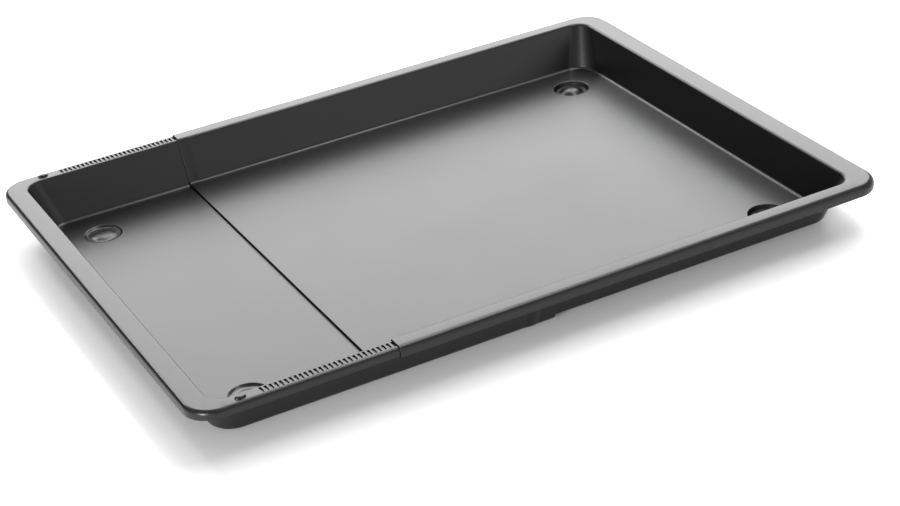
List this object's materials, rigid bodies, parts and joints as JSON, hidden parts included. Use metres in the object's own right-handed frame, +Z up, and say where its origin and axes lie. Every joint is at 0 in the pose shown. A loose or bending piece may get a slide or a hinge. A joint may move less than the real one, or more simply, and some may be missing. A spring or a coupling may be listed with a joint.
{
  "type": "adjustable baking tray",
  "caption": "Rectangular oven tray with raised rims whose halves slide in each other to change its length, with rim notches, end stops and pressed feet.",
  "frame": {"origin": "on the table, under the middle of the tray as it is set in the picture", "axes": "+X along the long sides towards the end of the upper half, +Y across the tray towards the back of the picture, +Z up"},
  "size_m": [0.4436, 0.3318, 0.032],
  "materials": {
    "lower_half_coating": "satin dark grey non-stick coat on sheet steel",
    "upper_half_coating": "satin dark grey non-stick coat on sheet steel"
  },
  "bodies": {
    "upper_half": {"upper_half_tray": "upper_half_coating"},
    "lower_half": {"lower_half_tray": "lower_half_coating"}
  },
  "joints": [
    {"name": "length_slide", "type": "slide", "parent": "upper_half", "child": "lower_half", "axis": [1, 0, 0], "range_m": [-0.0634, 0.0835]}
  ]
}
